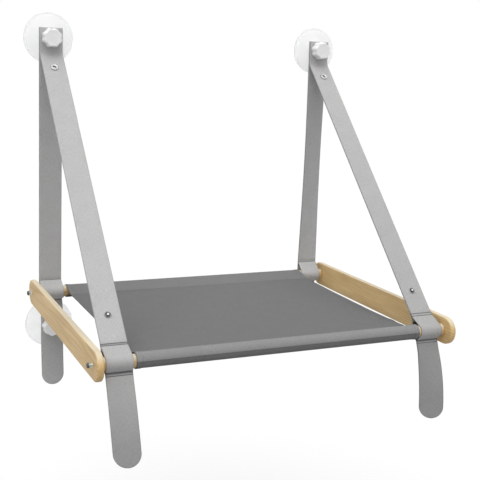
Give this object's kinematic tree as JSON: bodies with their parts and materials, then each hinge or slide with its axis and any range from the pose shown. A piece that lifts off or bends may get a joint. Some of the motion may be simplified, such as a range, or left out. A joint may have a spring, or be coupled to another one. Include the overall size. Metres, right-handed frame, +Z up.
{
  "type": "cat hammock",
  "caption": "Window-mounted cat perch: canvas tray on pine rails and dowels, hung by fabric straps from suction cups, folding up against the glass.",
  "frame": {"origin": "on the window glass, midway between left and right, level with the upper suction cups", "axes": "+Z up, +Y out of the room through the glass, X along the dowels"},
  "size_m": [0.6092, 0.4851, 0.6609],
  "materials": {
    "cup_pvc": "clear soft PVC",
    "stud_steel": "zinc plated",
    "insert_brass": "machined",
    "knob_plastic": "satin moulded",
    "strap_fabric": "heathered close weave",
    "snap_metal": "dark nickel",
    "bolt_zinc": "zinc plated",
    "rail_pine": "sanded, clear matt",
    "dowel_pine": "sanded, clear matt",
    "canvas": "close plain weave"
  },
  "bodies": {
    "root": {"suction_cup_upper_left": "cup_pvc", "suction_cup_upper_right": "cup_pvc", "suction_cup_lower_left": "cup_pvc", "suction_cup_lower_right": "cup_pvc", "cup_stud_upper_left": "stud_steel", "cup_stud_upper_right": "stud_steel", "cup_stud_lower_left": "stud_steel", "cup_stud_lower_right": "stud_steel", "rear_strap_back_left": "strap_fabric", "rear_strap_face_left": "strap_fabric", "front_strap_left": "strap_fabric", "snap_socket_left": "snap_metal", "snap_socket_cap_left": "snap_metal", "rear_strap_back_right": "strap_fabric", "rear_strap_face_right": "strap_fabric", "front_strap_right": "strap_fabric", "snap_socket_right": "snap_metal", "snap_socket_cap_right": "snap_metal"},
    "tray": {"front_dowel": "dowel_pine", "rear_dowel": "dowel_pine", "hammock_cloth": "canvas", "rail_left": "rail_pine", "front_loop_left": "strap_fabric", "snap_stud_left": "snap_metal", "snap_stud_cap_left": "snap_metal", "rail_right": "rail_pine", "front_loop_right": "strap_fabric", "snap_stud_right": "snap_metal", "snap_stud_cap_right": "snap_metal", "dowel_insert_rear_left": "insert_brass", "rail_bolt_rear_left": "bolt_zinc", "dowel_insert_rear_right": "insert_brass", "rail_bolt_rear_right": "bolt_zinc", "dowel_insert_front_left": "insert_brass", "rail_bolt_front_left": "bolt_zinc", "dowel_insert_front_right": "insert_brass", "rail_bolt_front_right": "bolt_zinc"},
    "tail_left": {"front_tail_left": "strap_fabric"},
    "tail_right": {"front_tail_right": "strap_fabric"},
    "insert_upper_left": {"knob_insert_upper_left": "insert_brass"},
    "knob_upper_left": {"knob_upper_left": "knob_plastic"},
    "insert_upper_right": {"knob_insert_upper_right": "insert_brass"},
    "knob_upper_right": {"knob_upper_right": "knob_plastic"},
    "insert_lower_left": {"knob_insert_lower_left": "insert_brass"},
    "knob_lower_left": {"knob_lower_left": "knob_plastic"},
    "insert_lower_right": {"knob_insert_lower_right": "insert_brass"},
    "knob_lower_right": {"knob_lower_right": "knob_plastic"}
  },
  "joints": [
    {"name": "tray_fold", "type": "hinge", "parent": "root", "child": "tray", "pos_m": [0, -0.0296, -0.443], "axis": [-1, 0, 0], "range_deg": [0, 80], "deforming": ["front_strap_left", "front_strap_right"]},
    {"name": "tail_hang_left", "type": "hinge", "parent": "tray", "child": "tail_left", "pos_m": [-0.26, -0.4468, -0.46702], "axis": [-1, 0, 0], "range_deg": [-80, 0]},
    {"name": "tail_hang_right", "type": "hinge", "parent": "tray", "child": "tail_right", "pos_m": [0.26, -0.44423, -0.46806], "axis": [-1, 0, 0], "range_deg": [-80, 0]},
    {"name": "knob_advance_upper_left", "type": "slide", "parent": "root", "child": "insert_upper_left", "axis": [0, -1, 0], "range_m": [0, 0.008]},
    {"name": "knob_turn_upper_left", "type": "hinge", "parent": "insert_upper_left", "child": "knob_upper_left", "pos_m": [-0.26, -0.0228, 0], "axis": [0, -1, 0], "range_deg": [0, 2880]},
    {"name": "knob_advance_upper_right", "type": "slide", "parent": "root", "child": "insert_upper_right", "axis": [0, -1, 0], "range_m": [0, 0.008]},
    {"name": "knob_turn_upper_right", "type": "hinge", "parent": "insert_upper_right", "child": "knob_upper_right", "pos_m": [0.26, -0.0228, 0], "axis": [0, -1, 0], "range_deg": [0, 2880]},
    {"name": "knob_advance_lower_left", "type": "slide", "parent": "root", "child": "insert_lower_left", "axis": [0, -1, 0], "range_m": [0, 0.008]},
    {"name": "knob_turn_lower_left", "type": "hinge", "parent": "insert_lower_left", "child": "knob_lower_left", "pos_m": [-0.26, -0.0204, -0.508], "axis": [0, -1, 0], "range_deg": [0, 2880]},
    {"name": "knob_advance_lower_right", "type": "slide", "parent": "root", "child": "insert_lower_right", "axis": [0, -1, 0], "range_m": [0, 0.008]},
    {"name": "knob_turn_lower_right", "type": "hinge", "parent": "insert_lower_right", "child": "knob_lower_right", "pos_m": [0.26, -0.0204, -0.508], "axis": [0, -1, 0], "range_deg": [0, 2880]}
  ],
  "couplings": [
    {"joint": "tail_hang_left", "follows": "tray_fold", "ratio": -1},
    {"joint": "tail_hang_right", "follows": "tray_fold", "ratio": -1},
    {"joint": "knob_turn_upper_left", "follows": "knob_advance_upper_left", "rad_per_m": 6283.2},
    {"joint": "knob_turn_upper_right", "follows": "knob_advance_upper_right", "rad_per_m": 6283.2},
    {"joint": "knob_turn_lower_left", "follows": "knob_advance_lower_left", "rad_per_m": 6283.2},
    {"joint": "knob_turn_lower_right", "follows": "knob_advance_lower_right", "rad_per_m": 6283.2}
  ]
}
